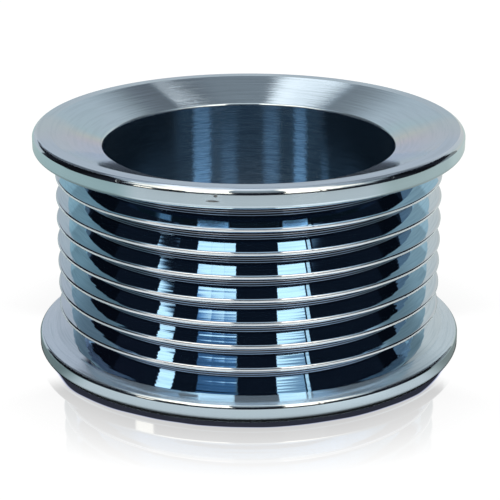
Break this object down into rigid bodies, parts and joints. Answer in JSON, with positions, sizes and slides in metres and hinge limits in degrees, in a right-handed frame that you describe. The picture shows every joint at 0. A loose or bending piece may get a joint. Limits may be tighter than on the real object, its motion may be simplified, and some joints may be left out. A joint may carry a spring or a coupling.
{
  "type": "ribbed belt pulley",
  "caption": "Flanged ring pulley turned from bright zinc-plated steel, with V-grooves around it for a ribbed belt, dished end faces and a plain through bore.",
  "frame": {"origin": "centre of the lower end face's plane, on the axis", "axes": "+Z along the axis, up from the lower end face to the upper one; the ring is the same all round, so X and Y are free"},
  "size_m": [0.067, 0.067, 0.0356],
  "materials": {
    "zinc_steel": "fine turned steel with bright blue zinc plating"
  },
  "bodies": {
    "root": {"pulley": "zinc_steel"}
  },
  "joints": []
}
